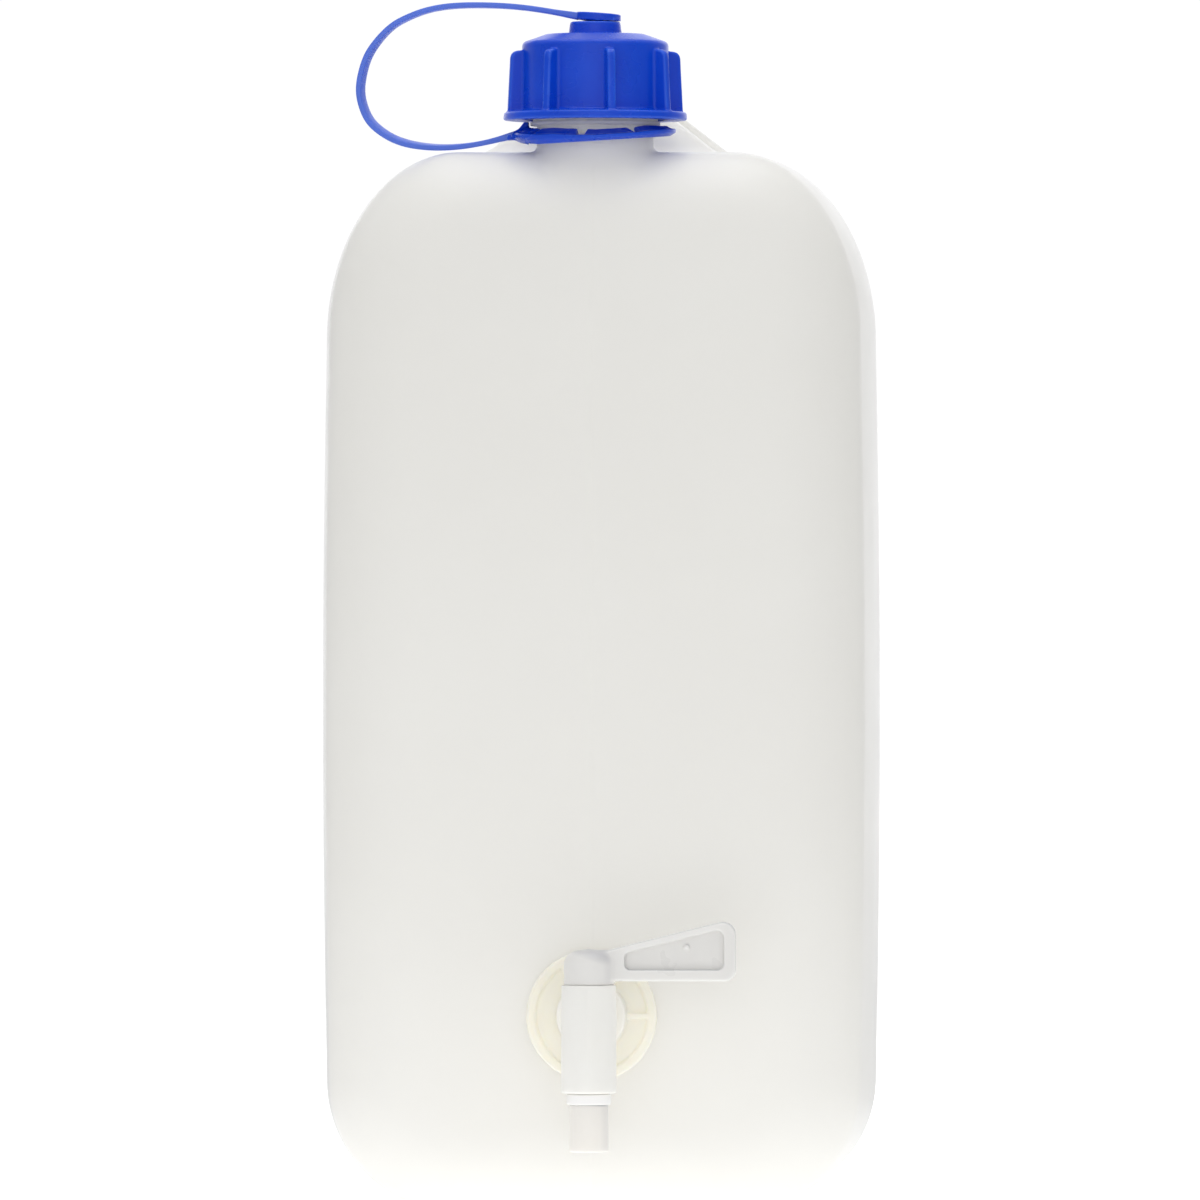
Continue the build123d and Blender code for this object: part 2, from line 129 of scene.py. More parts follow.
def helix(radial, angle, along, start, turns, pitch, root, crest, root_width, crest_width):
    """Ridge of a screw thread; it stands inwards when the crest radius is below the root's."""
    fraction = (angle % TURN) / TURN
    nearest = np.round((along - start) / pitch - fraction)
    progress = np.clip(nearest, 0, math.ceil(turns) - 1) + fraction
    offset = np.abs(along - start - pitch * progress)
    rise = np.clip((radial - root) / (crest - root), 0, 1)
    run_out = np.clip(np.minimum(progress, turns - progress) * 14, 0, 1)
    half_width = root_width / 2 + (crest_width - root_width) / 2 * rise
    beyond = math.copysign(1, crest - root) * (radial - (root + (crest - root) * run_out))
    return intersect((offset - half_width) * 0.9, beyond, 0.25)


def polygon_distance(x, y, points):
    """Signed distance to a closed polygon (negative inside)."""
    points = np.asarray(points, float)
    nearest = np.full(x.shape, 1e18)
    sign = np.ones(x.shape)
    for i, here in enumerate(points):
        before = points[i - 1]
        edge_x, edge_y = before[0] - here[0], before[1] - here[1]
        from_x, from_y = x - here[0], y - here[1]
        length2 = edge_x * edge_x + edge_y * edge_y + 1e-18
        t = np.clip((from_x * edge_x + from_y * edge_y) / length2, 0, 1)
        off_x, off_y = from_x - edge_x * t, from_y - edge_y * t
        nearest = np.minimum(nearest, off_x * off_x + off_y * off_y)
        above, below, left = y >= here[1], y < before[1], edge_x * from_y > edge_y * from_x
        sign = np.where((above & below & left) | (~above & ~below & ~left), -sign, sign)
    return sign * np.sqrt(nearest)


class PolygonField:
    """Distance to a polygon, sampled once on a fine grid and then looked up."""

    def __init__(self, points, across, up, step):
        self.xs = np.arange(across[0], across[1] + step, step)
        self.ys = np.arange(up[0], up[1] + step, step)
        self.step = step
        self.values = polygon_distance(*np.meshgrid(self.xs, self.ys, indexing="ij"), points)

    def __call__(self, x, y):
        x = np.clip((x - self.xs[0]) / self.step, 0, len(self.xs) - 1.001)
        y = np.clip((y - self.ys[0]) / self.step, 0, len(self.ys) - 1.001)
        i, j = x.astype(int), y.astype(int)
        tx, ty = x - i, y - j
        values = self.values
        return ((values[i, j] * (1 - tx) + values[i + 1, j] * tx) * (1 - ty)
                + (values[i, j + 1] * (1 - tx) + values[i + 1, j + 1] * tx) * ty)


def fillet(corners, segments=8):
    """Closed polygon with rounded corners, from rows of (x, y, corner radius)."""
    points = [np.array(row[:2], float) for row in corners]
    out = []
    for i, point in enumerate(points):
        radius = corners[i][2]
        back, ahead = points[i - 1] - point, points[(i + 1) % len(points)] - point
        back_length, ahead_length = np.linalg.norm(back), np.linalg.norm(ahead)
        back, ahead = back / back_length, ahead / ahead_length
        angle = math.acos(float(np.clip(back @ ahead, -1, 1)))
        if radius <= 0 or angle > math.pi - 1e-3:
            out.append(point)
            continue
        reach = min(radius / math.tan(angle / 2), 0.49 * back_length, 0.49 * ahead_length)
        radius = reach * math.tan(angle / 2)
        bisector = (back + ahead) / np.linalg.norm(back + ahead)
        centre = point + bisector * (radius / math.sin(angle / 2))
        first, last = point + back * reach - centre, point + ahead * reach - centre
        start = math.atan2(first[1], first[0])
        sweep = (math.atan2(last[1], last[0]) - start + math.pi) % TURN - math.pi
        for k in range(segments + 1):
            a = start + sweep * k / segments
            out.append(centre + radius * np.array([math.cos(a), math.sin(a)]))
    return out


def ring_section(inner, outer, low, high, radii, segments):
    """Rectangular section of a ring; radii run from inner low, by the outer side, to inner high."""
    corners = ((inner, low), (outer, low), (outer, high), (inner, high))
    return fillet([(*point, radius) for point, radius in zip(corners, radii)], segments)


# ------------------------------------------------------------------ meshes
def grid(start, end, step):
    """Even points from start to end, no further apart than step."""
    return np.linspace(start, end, max(2, int(math.ceil((end - start) / step)) + 1))


def grids(*spans):
    """Points over spans of (start, end, step) that meet end to end."""
    parts = [grid(*span) for span in spans]
    return np.concatenate([part[:-1] for part in parts[:-1]] + parts[-1:])


def sample_grid(field, axes):
    """Field values at every grid point, taken in slabs of x to spare memory."""
    slab = 24
    xs, ys, zs = axes
    y, z = (values.ravel() for values in np.meshgrid(ys, zs, indexing="ij"))
    values = np.empty((len(xs), len(ys), len(zs)))
    for start in range(0, len(xs), slab):
        part = xs[start:start + slab]
        count = len(part)
        sampled = field(np.repeat(part, y.size), np.tile(y, count), np.tile(z, count))
        values[start:start + slab] = sampled.reshape(count, len(ys), len(zs))
    values[np.abs(values) < 1e-9] = 1e-9
    return values


def crossed_cells(inside):
    """Cells the surface passes through, and the vertex number of each (-1 for the others)."""
    nx, ny, nz = (size - 1 for size in inside.shape)
    count = np.zeros((nx, ny, nz), int)
    for dx, dy, dz in product((0, 1), repeat=3):
        count += inside[dx:nx + dx, dy:ny + dy, dz:nz + dz]
    crossed = (count > 0) & (count < 8)
    cells = np.argwhere(crossed)
    index = np.full(crossed.shape, -1, int)
    index[crossed] = np.arange(len(cells))
    return cells, index


def edge_crossings(values, axes, cells):
    """Mean of the points where the edges of each cell cross the surface."""
    total, count = np.zeros(cells.shape), np.zeros(len(cells))
    for axis in range(3):
        sides = [other for other in range(3) if other != axis]
        for shift in product((0, 1), repeat=2):
            start = cells.copy()
            start[:, sides] += shift
            end = start.copy()
            end[:, axis] += 1
            value0, value1 = values[tuple(start.T)], values[tuple(end.T)]
            hit = (value0 < 0) != (value1 < 0)
            t = np.where(hit, value0 / np.where(hit, value0 - value1, 1), 0)
            point = np.stack([axes[k][start[:, k]] for k in range(3)], 1)
            point[:, axis] += t * (axes[axis][end[:, axis]] - axes[axis][start[:, axis]])
            total[hit] += point[hit]
            count[hit] += 1
    return total / count[:, None]


def edge_quads(inside, index):
    """One quad round every grid edge that crosses the surface, facing outwards."""
    quads = []
    shape = np.array(inside.shape)
    for axis in range(3):
        sides = [(axis + 1) % 3, (axis + 2) % 3]
        along = np.moveaxis(inside, axis, 0)
        points = np.argwhere(np.moveaxis(along[:-1] != along[1:], 0, axis))
        interior = (points[:, sides] > 0) & (points[:, sides] < shape[sides] - 1)
        points = points[interior.all(axis=1)]
        corners = []
        for shift in ((-1, -1), (0, -1), (0, 0), (-1, 0)):
            cell = points.copy()
            cell[:, sides] += shift
            corners.append(index[tuple(cell.T)])
        quad = np.stack(corners, 1)
        flip = ~inside[tuple(points.T)]
        quad[flip] = quad[flip][:, ::-1]
        quads.append(quad)
    return np.concatenate(quads)


def pull(field, verts, reach, passes):
    """Moves vertices down the gradient onto the surface, at most `reach` in each pass."""
    h = 0.02
    for _ in range(passes):
        x, y, z = verts[:, 0], verts[:, 1], verts[:, 2]
        dist = field(x, y, z)
        slope = np.stack([field(x + h, y, z) - field(x - h, y, z),
                          field(x, y + h, z) - field(x, y - h, z),
                          field(x, y, z + h) - field(x, y, z - h)], 1) / (2 * h)
        steepness = np.maximum((slope * slope).sum(1), 0.05)
        move = -(dist / steepness)[:, None] * slope
        length = np.linalg.norm(move, axis=1)
        verts = verts + move * np.minimum(1, reach / np.maximum(length, 1e-12))[:, None]
    return verts


def mesh_object(name, verts, faces):
    """Smooth-shaded mesh object from vertices in millimetres."""
    mesh = bpy.data.meshes.new(name)
    mesh.from_pydata((np.asarray(verts, float) * MM).tolist(), [], faces)
    mesh.validate()
    mesh.polygons.foreach_set("use_smooth", [True] * len(mesh.polygons))
    mesh.update()
    obj = bpy.data.objects.new(name, mesh)
    bpy.context.scene.collection.objects.link(obj)
    return obj


def net_object(name, field, xs, ys, zs, relax=True):
    """Quad mesh of the field's zero level over a rectilinear grid; relaxing evens its quads."""
    axes = (xs, ys, zs)
    values = sample_grid(field, axes)
    inside = values < 0
    cells, index = crossed_cells(inside)
    quads = edge_quads(inside, index)
    reach = 0.8 * np.stack([np.diff(axes[k])[cells[:, k]] for k in range(3)], 1).min(1)
    verts = pull(field, edge_crossings(values, axes, cells), reach, 4)
    if relax:
        total, count = np.zeros_like(verts), np.zeros(len(verts))
        for k in range(4):
            here, there = quads[:, k], quads[:, (k + 1) % 4]
            for target, source in ((here, there), (there, here)):
                np.add.at(total, target, verts[source])
                np.add.at(count, target, 1)
        verts = pull(field, verts * 0.45 + 0.55 * total / count[:, None], reach, 2)
    return mesh_object(name, verts, quads.tolist())


def lathe(name, section, axis_y, sides=96, reshape=None):
    """Closed section of (r, z) turned about the upright axis x = 0, y = axis_y.

    reshape(radius, angles, z) gives the radius at each angle."""
    angles = np.arange(sides) / sides * TURN
    verts = []
    for radius, z in np.asarray(section, float):
        radii = reshape(radius, angles, z) if reshape else np.full(sides, radius)
        verts.append(np.stack([radii * np.cos(angles), axis_y + radii * np.sin(angles),
                               np.full(sides, z)], 1))
    faces = []
    for i in range(len(section)):
        low, high = i * sides, ((i + 1) % len(section)) * sides
        for k in range(sides):
            after = (k + 1) % sides
            faces.append((low + k, low + after, high + after, high + k))
    return mesh_object(name, np.concatenate(verts), faces)


def boolean(obj, tool, operation):
    """Applies a boolean with the tool, and removes the tool."""
    modifier = obj.modifiers.new("b", "BOOLEAN")
    modifier.operation = operation
    modifier.object = tool
    modifier.solver = "MANIFOLD"
    bpy.context.view_layer.update()
    depsgraph = bpy.context.evaluated_depsgraph_get()
    mesh = bpy.data.meshes.new_from_object(obj.evaluated_get(depsgraph))
    obj.modifiers.clear()
    old = obj.data
    obj.data = mesh
    bpy.data.meshes.remove(old)
    bpy.data.objects.remove(tool, do_unlink=True)


def face_outwards(obj):
    """Flips the faces where the signed volume is negative."""
    mesh = obj.data
    verts = np.empty(len(mesh.vertices) * 3)
    mesh.vertices.foreach_get("co", verts)
    mesh.calc_loop_triangles()
    corners = np.empty(len(mesh.loop_triangles) * 3, int)
    mesh.loop_triangles.foreach_get("vertices", corners)
    first, second, third = verts.reshape(-1, 3)[corners.reshape(-1, 3).T]
    if (first * np.cross(second, third)).sum() < 0:
        mesh.flip_normals()


def register(obj, node, body):
    """Stands the object in for a CAD node, riding on a body (None for no body)."""
    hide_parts(node)
    if body:
        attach(obj, body)
    return obj


# ------------------------------------------------------------------ canister shell
HALF_WIDTH, HEIGHT, WALL = 107.1, 410.5, 1.8
SIDE_BOW = 1.5                       # outward bow of the sides, in the front outline
FACE_BOW = 0.7                       # bulge of front and back, percent of depth
PLAN_CURVE = 8.4                     # how far the sides draw in 100 mm from the middle plane
BASE_RADIUS = 50.0
SHOULDER_WIDTH, SHOULDER_RISE = 50.0, 72.0
EDGE_RADIUS = 31.0                   # upright edges
RIDGE_TOP = 448
SLOT_Y, SLOT_Z = 38.0, 414.75        # slot through the ridge, running along X
SLOT_HALF_Y, SLOT_HALF_Z, SLOT_RADIUS = 34.0, 15.75, 13.0
NECK_RADIUS = 24.2
MOUTH_RADIUS = 20.0
THREAD_PITCH = 6.0                   # neck and cap
OUTLET_HOLE_RADIUS = 14.0

# ridge on top seen from the front: x, z, corner radius
RIDGE_FRONT = [
    (-65.5, 330, 0), (-65.5, 401, 0), (-26.7, 431.5, 12), (-15.5, RIDGE_TOP, 9),
    (15.5, RIDGE_TOP, 9), (26.7, 431.5, 12), (65.5, 401, 0), (65.5, 330, 0)]
# the same ridge seen from the side: y, z, corner radius
RIDGE_SIDE = [
    (-30, 330, 0), (-20.5, RIDGE_TOP, 12), (70, RIDGE_TOP, 26),
    (89, 424, 24), (97.5, 380, 20), (90, 330, 0)]
# outside of the neck from its foot over the bead: r, z
NECK_BEAD = [
    (22.5, 413.0), (22.5, 420.2), (22.9, 420.6), (24.7, 420.7), (25.15, 421.0),
    (25.2, 421.5), (25.1, 421.9), (24.7, 422.2), (24.25, 422.4)]
# lip of the neck: r, z
NECK_LIP = [(24.1, 449.5), (23.8, 449.85), (23.3, 450.0), (20.7, 450.0), (20.3, 449.9),
            (20.05, 449.6)]
# passage through the neck: r, z
NECK_BORE = [(0.01, 392), (21.2, 392), (21.2, 402), (MOUTH_RADIUS, 410), (MOUTH_RADIUS, 440),
             (MOUTH_RADIUS, 452), (0.01, 452)]


def front_outline():
    """Front outline of the container, without ridge and neck."""
    half = []
    for k in range(41):
        a = -math.pi / 2 + k / 40 * math.pi / 2
        half.append((HALF_WIDTH - BASE_RADIUS + BASE_RADIUS * math.cos(a),
                     BASE_RADIUS + BASE_RADIUS * math.sin(a)))
    shoulder_z = HEIGHT - SHOULDER_RISE
    for k in range(1, 60):
        t = k / 60
        half.append((HALF_WIDTH + SIDE_BOW * math.sin(math.pi * t),
                     BASE_RADIUS + (shoulder_z - BASE_RADIUS) * t))
    for k in range(61):
        a = k / 60 * math.pi / 2
        half.append((HALF_WIDTH - SHOULDER_WIDTH + SHOULDER_WIDTH * math.cos(a),
                     shoulder_z + SHOULDER_RISE * math.sin(a)))
    return half + [(-x, z) for x, z in reversed(half)]


OUTLINE = PolygonField(front_outline(), (0, 125), (-16, 428), 0.8)
RIDGE_XZ = PolygonField(fillet(RIDGE_FRONT), (0, 125), (326, 470), 0.6)
RIDGE_YZ = PolygonField(fillet(RIDGE_SIDE, 10), (-60, 125), (326, 470), 0.6)


def top_field(dist, x, y, z, neck):
    """Adds ridge, neck foot and slot to the container's distance."""
    # the ridge is narrower to the front
    taper = 0.061 * np.clip(97.5 - y, 0, 140) * np.clip((RIDGE_TOP - z) / 16.5, 0, 1)
    ridge = intersect(RIDGE_XZ(np.abs(x) + taper, z), RIDGE_YZ(y, z), 9.0)
    dist = unite(dist, ridge, 4.0)
    if neck:
        foot = np.maximum(np.hypot(x, y - NECK_Y) - 22.6, z - 418.0)
        # the fillet widens at the front of the neck
        dist = unite(dist, foot, 2.4 + 6.0 * np.clip((-76.0 - y) / 14.0, 0, 1))
    slot = rounded_rectangle(y - SLOT_Y, z - SLOT_Z, SLOT_HALF_Y, SLOT_HALF_Z, SLOT_RADIUS)
    return cut(dist, slot, 6.0)


def body_field(x, y, z, inset=0.0, neck=True):
    """Distance to the outer skin, or to one further in by inset."""
    bow = (FACE_BOW * np.clip(1 - (x / 98.0) ** 2, 0, 1)
           * np.clip(1 - ((z - 205) / 190.0) ** 2, 0, 1))
    outline = OUTLINE(np.abs(x) + PLAN_CURVE * (y / 100.0) ** 2, z)
    dist = extrude(outline, y / (1 + bow / 100.0), CAN_DEPTH / 2, EDGE_RADIUS)
    # push-up under the base
    from_middle = np.hypot(x / 88.0, y / 70.0)
    dist = dist + 2.6 * np.clip(1.25 - from_middle, 0, 0.5) * 2 * np.clip(1 - z / 30, 0, 1)
    top = z > 340
    dist[top] = top_field(dist[top], x[top], y[top], z[top], neck)
    # parting line of the mould, in the middle plane
    dist = dist - 0.16 * np.exp(-(x / 0.55) ** 2) * (z < 405)
    return dist + inset


def cavity_field(x, y, z):
    return body_field(x, y, z, WALL, neck=False)


def shell_columns():
    """Grid along x: finest at the parting line, finer across ridge and neck."""
    coarse = grid(-111, 111, 3.0)
    seam = [-1.8, -0.9, -0.45, 0.0, 0.45, 0.9, 1.8]
    columns = np.sort(np.concatenate([coarse[np.abs(coarse) > 1.79], seam]))
    middles = (columns[:-1] + columns[1:]) / 2
    extra = middles[(np.abs(middles) > 3) & (np.abs(middles) < 33)]
    return np.sort(np.concatenate([columns, extra]))


def neck_thread(radius, angles, z):
    """Raises two turns of thread on the straight wall of the neck."""
    if radius != NECK_RADIUS:
        return np.full(angles.shape, radius)
    start, turns, height = 430.0, 2, 1.8
    raised = np.zeros(angles.shape)
    for turn in range(3):
        centre = start + THREAD_PITCH * (angles / TURN + turn)
        progress = (centre - start) / (turns * THREAD_PITCH)
        run_out = np.clip(np.minimum(progress, 1 - progress) * 30, 0, 1) * (progress <= 1)
        flank = np.clip((1.55 - np.abs(z - centre)) / 0.85, 0, 1)
        raised = np.maximum(raised, height * run_out * flank)
    return radius + raised


def outlet_cutter():
    """Cylinder along Y through the front wall."""
    sides = 96
    angles = np.arange(sides) / sides * TURN
    verts = np.concatenate([
        np.stack([OUTLET_HOLE_RADIUS * np.cos(angles), np.full(sides, y),
                  OUTLET_Z + OUTLET_HOLE_RADIUS * np.sin(angles)], 1)
        for y in (CAN_LOW[1] - 6, CAN_LOW[1] + 8)])
    faces = [tuple(range(sides)), tuple(range(2 * sides - 1, sides - 1, -1))]
    for k in range(sides):
        after = (k + 1) % sides
        faces.append((k, sides + k, sides + after, after))
    return mesh_object("hole", verts, faces)


def build_shell():
    shell = net_object(
        "canister_shell", body_field, shell_columns(),
        grids((-104, -34, 1.75), (-34, 104, 3.0)),
        grids((-4, 60, 3.0), (60, 330, 6.0), (330, 395, 3.0), (395, 454, 1.7)), relax=False)
    cavity = net_object(
        "inner", cavity_field, grid(-108, 108, 4.0), grid(-101, 101, 4.0),
        grids((-2, 60, 4.0), (60, 330, 9.0), (330, 450, 3.5)), relax=False)
    wall = [(NECK_RADIUS, z) for z in np.arange(423.0, 449.01, 0.5)]
    inside = [(MOUTH_RADIUS, z) for z in (445, 435, 425, 413)]
    section = NECK_BEAD + wall + NECK_LIP + inside
    neck = lathe("neck", section[::-1], NECK_Y, 144, neck_thread)
    bore = lathe("bore", NECK_BORE, NECK_Y, 144)
    boolean(shell, neck, "UNION")
    boolean(cavity, bore, "UNION")
    boolean(shell, cavity, "DIFFERENCE")
    boolean(shell, outlet_cutter(), "DIFFERENCE")
    shell.data.polygons.foreach_set("use_smooth", [True] * len(shell.data.polygons))
    return register(shell, "canister_body", "root")


# ------------------------------------------------------------------ screw cap
CAP_BOTTOM = CAP_LOW[2]                       # underside of the flange
KNOB_TOP = EYELET_LOW[2] - 0.3
CAP_RIBS, CAP_RIB_START = 8, math.radians(-90 + 13.3)
# half section with flange, roof, knob and the stud on it: r, z, corner radius
CAP_SECTION = [
    (26.6, CAP_BOTTOM, 0.3), (35.6, CAP_BOTTOM, 0.7), (35.4, CAP_BOTTOM + 3.1, 1.1),
    (28.55, CAP_BOTTOM + 3.5, 1.4), (28.35, 452.9, 2.2), (18.9, 456.2, 2.6),
    (10.35, 456.0, 0.8), (9.7, KNOB_TOP, 0.8), (3.0, KNOB_TOP, 0.5), (3.0, 462.85, 0.2),
    (5.2, 462.85, 0.3), (5.0, 463.9, 0.7), (-6.0, 463.9, 0), (-6.0, 452.05, 0),
    (26.6, 452.05, 1.2)]
# outside rib: r, z, corner radius
CAP_RIB = [(26.5, CAP_BOTTOM + 1.0, 0), (34.6, CAP_BOTTOM + 1.0, 0.8),
           (33.3, 449.4, 3.0), (26.5, 450.0, 0)]
CAP_FIELD = PolygonField(fillet(CAP_SECTION, 6), (-1, 42), (CAP_BOTTOM - 4, 468), 0.2)
CAP_RIB_FIELD = PolygonField(fillet(CAP_RIB), (10, 42), (CAP_BOTTOM - 4, 468), 0.2)


def cap_field(x, y, z):
    y = y - NECK_Y
    radial, angle = np.hypot(x, y), np.arctan2(y, x)
    spoke = fold(angle, CAP_RIB_START, CAP_RIBS)
    out, across = radial * np.cos(spoke), radial * np.sin(spoke)
    rib = extrude(CAP_RIB_FIELD(out, z), across, 1.8 - 0.04 * (out - 28), 0.8)
    dist = unite(CAP_FIELD(radial, z), rib, 0.9)
    bore = (radial < 28) & (z < 446) & (radial > 22)
    thread = helix(radial[bore], angle[bore], z[bore], start=427.0, turns=2.5,
                   pitch=THREAD_PITCH, root=26.9, crest=24.8, root_width=3.2, crest_width=1.4)
    dist[bore] = np.minimum(dist[bore], thread)
    return dist


def build_cap():
    cap = net_object("screw_cap_visual", cap_field, grid(-37, 37, 0.62),
                     grid(NECK_Y - 37, NECK_Y + 37, 0.62), grid(CAP_BOTTOM - 1.2, 465, 0.55))
    return register(cap, "screw_cap", "cap")


def build_gasket():
    """Sealing ring in the cap."""
    section = ring_section(19.6, 26.2, GASKET_LOW[2], GASKET_HIGH[2], [0.45] * 4, 4)
    gasket = lathe("gasket_ring", section, NECK_Y)
    return register(gasket, "cap_gasket", "gasket")


# ------------------------------------------------------------------ tether
RING_Z = 413.85
RING_TILT = math.radians(3.4)                 # the right side hangs lower
RING_PITCH = 0.036                            # the front hangs lower too, mm per mm
RING_NOTCHES, NOTCH_START = 8, math.radians(-90 - 53.5)
# conical ring: r, height in its own frame, corner radius
RING_SECTION = [
    (27.8, 0, 0.3), (29.0, 0, 0.4), (31.3, 1.1, 0.4), (31.5, 2.3, 0.4), (29.6, 2.6, 0.4),
    (26.1, 4.4, 0.4), (23.9, 4.4, 0.3), (23.9, 3.2, 0.3)]
# lug on the left that takes the strap: x, z, corner radius
LUG_OUTLINE = [
    (-25.7, 422.1, 0.3), (-27.5, 422.1, 0.5), (-29.5, 419.5, 1.6), (-34.0, 417.3, 0.5),
    (-34.4, 415.1, 0.5), (-30.6, 415.3, 1.6), (-27.2, 413.9, 0.8), (-25.7, 413.3, 0.3)]
RING_FIELD = PolygonField(fillet(RING_SECTION, 5), (15, 40), (-5, 12), 0.15)
LUG_FIELD = PolygonField(fillet(LUG_OUTLINE, 5), (-45, -15), (405, 430), 0.15)
# middle line of the strap from the cap round to the ring: x, z
STRAP_PATH = [
    (-6.5, 463.1), (-13.9, 464.4), (-25.0, 466.2), (-37.2, 467.3), (-52.7, 467.4),
    (-64.3, 465.8), (-73.6, 462.3), (-79.8, 458.4), (-86.0, 451.3), (-89.3, 444.5),
    (-91.1, 434.8), (-89.3, 426.7), (-86.0, 421.3), (-79.8, 416.7), (-73.6, 414.2),
    (-67.4, 413.0), (-61.2, 412.5), (-55.0, 412.6), (-48.8, 413.2), (-42.6, 414.3),
    (-37.2, 415.6), (-30.5, 417.4)]
# twist of the strap about its length, showing its inner face low on the left:
# share of length, degrees
STRAP_TWIST = [
    (0.0, 0.0), (0.15, 1.0), (0.33, 3.0), (0.42, 7.0), (0.50, 14.0), (0.56, 17.0),
    (0.66, 18.0), (0.75, 15.0), (0.83, 8.0), (0.90, 3.0), (1.0, 0.0)]
STRAP_HALF_WIDTH, STRAP_HALF_THICK, STRAP_EDGE = 3.0, 1.02, 0.55


def ring_field(x, y, z):
    along = y - NECK_Y
    up = z - RING_Z - RING_PITCH * (along + 31.5)
    cosine, sine = math.cos(RING_TILT), math.sin(RING_TILT)
    across, height = x * cosine + up * sine, -x * sine + up * cosine
    radial, angle = np.hypot(across, along), np.arctan2(along, across)
    # the far left is raised, and the thin upper edge has warped
    height = height - 0.12 * np.clip(-21 - across, 0, 8)
    warp = 0.095 * np.clip(1.6 - across, 0, 17) + 0.12 * np.clip(across - 16.5, 0, 5)
    height = height - warp * np.clip(height / 4.4, 0, 1)
    # notches in the upper edge, wider towards the top
    off = radial * np.sin(fold(angle, NOTCH_START, RING_NOTCHES))
    notch = np.maximum((np.abs(off) - 1.5 - 0.36 * (height - 2.5)) * 0.92, 2.5 - height)
    dist = cut(RING_FIELD(radial, height), notch, 0.35)
    # stays under the bead of the neck
    dist = np.where(radial < 27.5, np.maximum(dist, z - 420.4), dist)
    return unite(dist, extrude(LUG_FIELD(x, z), along, 3.6, 0.7), 0.8)


def build_ring():
    ring = net_object("tether_ring_visual", ring_field, grid(-35, 33, 0.5),
                      grid(NECK_Y - 33, NECK_Y + 33, 0.5), grid(411.0, 423, 0.4))
    return register(ring, "tether_ring", "tether")


def smooth_curve(stations, count):
    """Smoothed Catmull-Rom curve at even arc length, with each point's share of the length."""
    points = np.array(stations, float)
    points = np.vstack([2 * points[0] - points[1], points, 2 * points[-1] - points[-2]])
    curve = []
    for p0, p1, p2, p3 in zip(points, points[1:], points[2:], points[3:]):
        for t in np.linspace(0, 1, 24, endpoint=False):
            curve.append(0.5 * ((2 * p1) + (-p0 + p2) * t
                                + (2 * p0 - 5 * p1 + 4 * p2 - p3) * t * t
                                + (-p0 + 3 * p1 - 3 * p2 + p3) * t ** 3))
    curve.append(points[-2])
    curve = np.array(curve)
    for _ in range(60):
        curve[1:-1] = 0.5 * curve[1:-1] + 0.25 * (curve[:-2] + curve[2:])
    steps = np.linalg.norm(np.diff(curve, axis=0), axis=1)
    length = np.concatenate([[0], np.cumsum(steps)])
    even = np.linspace(0, length[-1], count)
    resampled = np.stack([np.interp(even, length, curve[:, k]) for k in range(2)], 1)
    return resampled, even / length[-1]


def build_strap():
    """Flat band with rounded edges, swept along its path and twisted."""
    path, shares = smooth_curve(STRAP_PATH, 200)
    # section: corner signs along width and thickness, then the corner's arc
    section = []
    for k, signs in enumerate(((1, 1), (-1, 1), (-1, -1), (1, -1))):
        for j in range(4):
            a = (k * 90 + j * 30) * math.pi / 180
            section.append((*signs, math.cos(a), math.sin(a)))
    sideways = np.array([0, 1, 0])
    verts = []
    for i, (x, z) in enumerate(path):
        tangent = path[min(i + 1, len(path) - 1)] - path[max(i - 1, 0)]
        tangent = tangent / np.linalg.norm(tangent)
        normal = np.array([tangent[1], 0, -tangent[0]])
        share = shares[i]
        twist = -math.radians(float(np.interp(share, *zip(*STRAP_TWIST))))
        width_dir = sideways * math.cos(twist) + normal * math.sin(twist)
        thick_dir = normal * math.cos(twist) - sideways * math.sin(twist)
        # wider and thicker at both ends
        end = min(share, 1 - share)
        flat_width = STRAP_HALF_WIDTH + 0.7 * math.exp(-(end / 0.03) ** 2) - STRAP_EDGE
        flat_thick = STRAP_HALF_THICK + 0.35 * math.exp(-(end / 0.035) ** 2) - STRAP_EDGE
        centre = np.array([x, NECK_Y, z])
        for sign_w, sign_t, arc_w, arc_t in section:
            verts.append(centre + width_dir * (sign_w * flat_width + STRAP_EDGE * arc_w)
                         + thick_dir * (sign_t * flat_thick + STRAP_EDGE * arc_t))
    sides, last = len(section), len(path) - 1
    faces = []
    for i in range(last):
        low, high = i * sides, (i + 1) * sides
        for k in range(sides):
            after = (k + 1) % sides
            faces.append((low + k, low + after, high + after, high + k))
    faces.append(tuple(range(sides)[::-1]))
    faces.append(tuple(last * sides + k for k in range(sides)))
    strap = mesh_object("tether_strap_visual", verts, faces)
    work = bmesh.new()
    work.from_mesh(strap.data)
    bmesh.ops.recalc_face_normals(work, faces=work.faces)
    work.to_mesh(strap.data)
    work.free()
    return register(strap, "tether_strap", None)


def build_eyelet():
    bottom, top = EYELET_LOW[2], EYELET_HIGH[2]
    section = fillet([(3.3, bottom, 0.25), (8.7, bottom, 0.5), (8.7, top, 0.6), (6.1, top, 0.3),
                      (5.8, bottom + 1.3, 0.3), (3.3, bottom + 1.3, 0.25)], 5)
    eyelet = lathe("tether_eyelet_visual", section, NECK_Y)
    # its flange sits a little off the stud and dips to the right
    for v in eyelet.data.vertices:
        radial = math.hypot(v.co.x, v.co.y - NECK_Y * MM) / MM
        share = min(1.0, max(0.0, (radial - 5.6) / 1.6))
        v.co.z = max(v.co.z - 0.07 * v.co.x * share, bottom * MM)
        v.co.x += 1.2 * MM * share
    return register(eyelet, "tether_eyelet", "tether_end")


